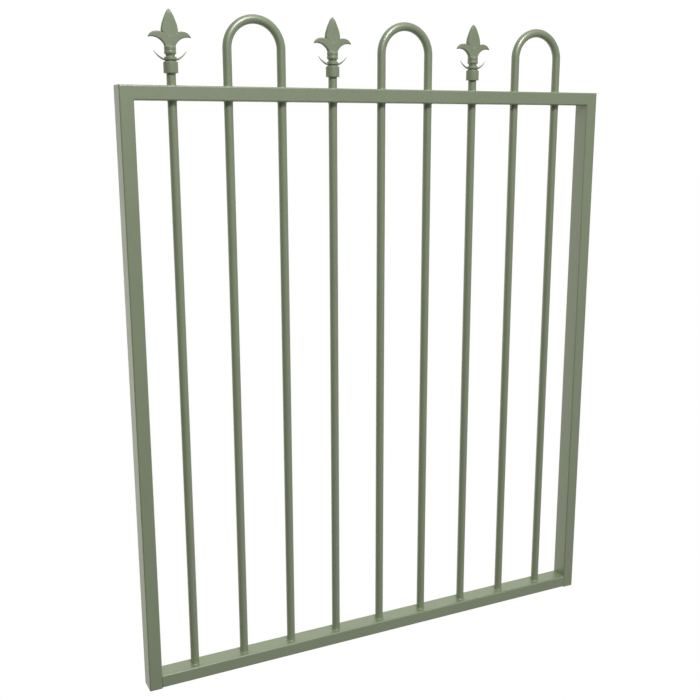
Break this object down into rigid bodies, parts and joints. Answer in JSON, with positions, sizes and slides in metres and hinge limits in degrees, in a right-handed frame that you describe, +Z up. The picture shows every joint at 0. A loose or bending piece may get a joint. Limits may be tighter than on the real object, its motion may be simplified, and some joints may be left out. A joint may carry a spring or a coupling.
{
  "type": "ornamental tubular gate leaf",
  "caption": "Single gate leaf of rectangular tube with round pickets, inverted-U hoops above the top rail and fleur-de-lis spear finials.",
  "frame": {"origin": "middle of the gate's foot: centre of the bounding box in X and Y, at the underside of the stiles", "axes": "+Z up along the stiles, +X along the rails from the left stile to the right one as seen from the front, +Y from the front to the back"},
  "size_m": [1, 0.038, 1.2368],
  "materials": {
    "sage_powder_coat": "semi-gloss sage-green powder coat on mild steel tube",
    "sage_coated_casting": "the same powder coat over slightly grainy castings",
    "foot_plug_plastic": "black moulded plastic",
    "coated_screw": "grub screw coated with the gate"
  },
  "bodies": {
    "root": {"stile_left": "sage_powder_coat", "stile_right": "sage_powder_coat", "top_rail": "sage_powder_coat", "bottom_rail": "sage_powder_coat", "foot_plug_left": "foot_plug_plastic", "foot_plug_right": "foot_plug_plastic", "spear_picket_1": "sage_powder_coat", "spear_picket_2": "sage_powder_coat", "spear_picket_3": "sage_powder_coat", "hoop_1": "sage_powder_coat", "hoop_2": "sage_powder_coat", "hoop_3": "sage_powder_coat", "ferrule_1": "sage_coated_casting", "ferrule_2": "sage_coated_casting", "ferrule_3": "sage_coated_casting", "crescent_1": "sage_coated_casting", "crescent_2": "sage_coated_casting", "crescent_3": "sage_coated_casting", "spear_head_1": "sage_coated_casting", "spear_head_2": "sage_coated_casting", "spear_head_3": "sage_coated_casting", "ferrule_screw_1": "coated_screw", "ferrule_screw_2": "coated_screw", "ferrule_screw_3": "coated_screw"}
  },
  "joints": []
}
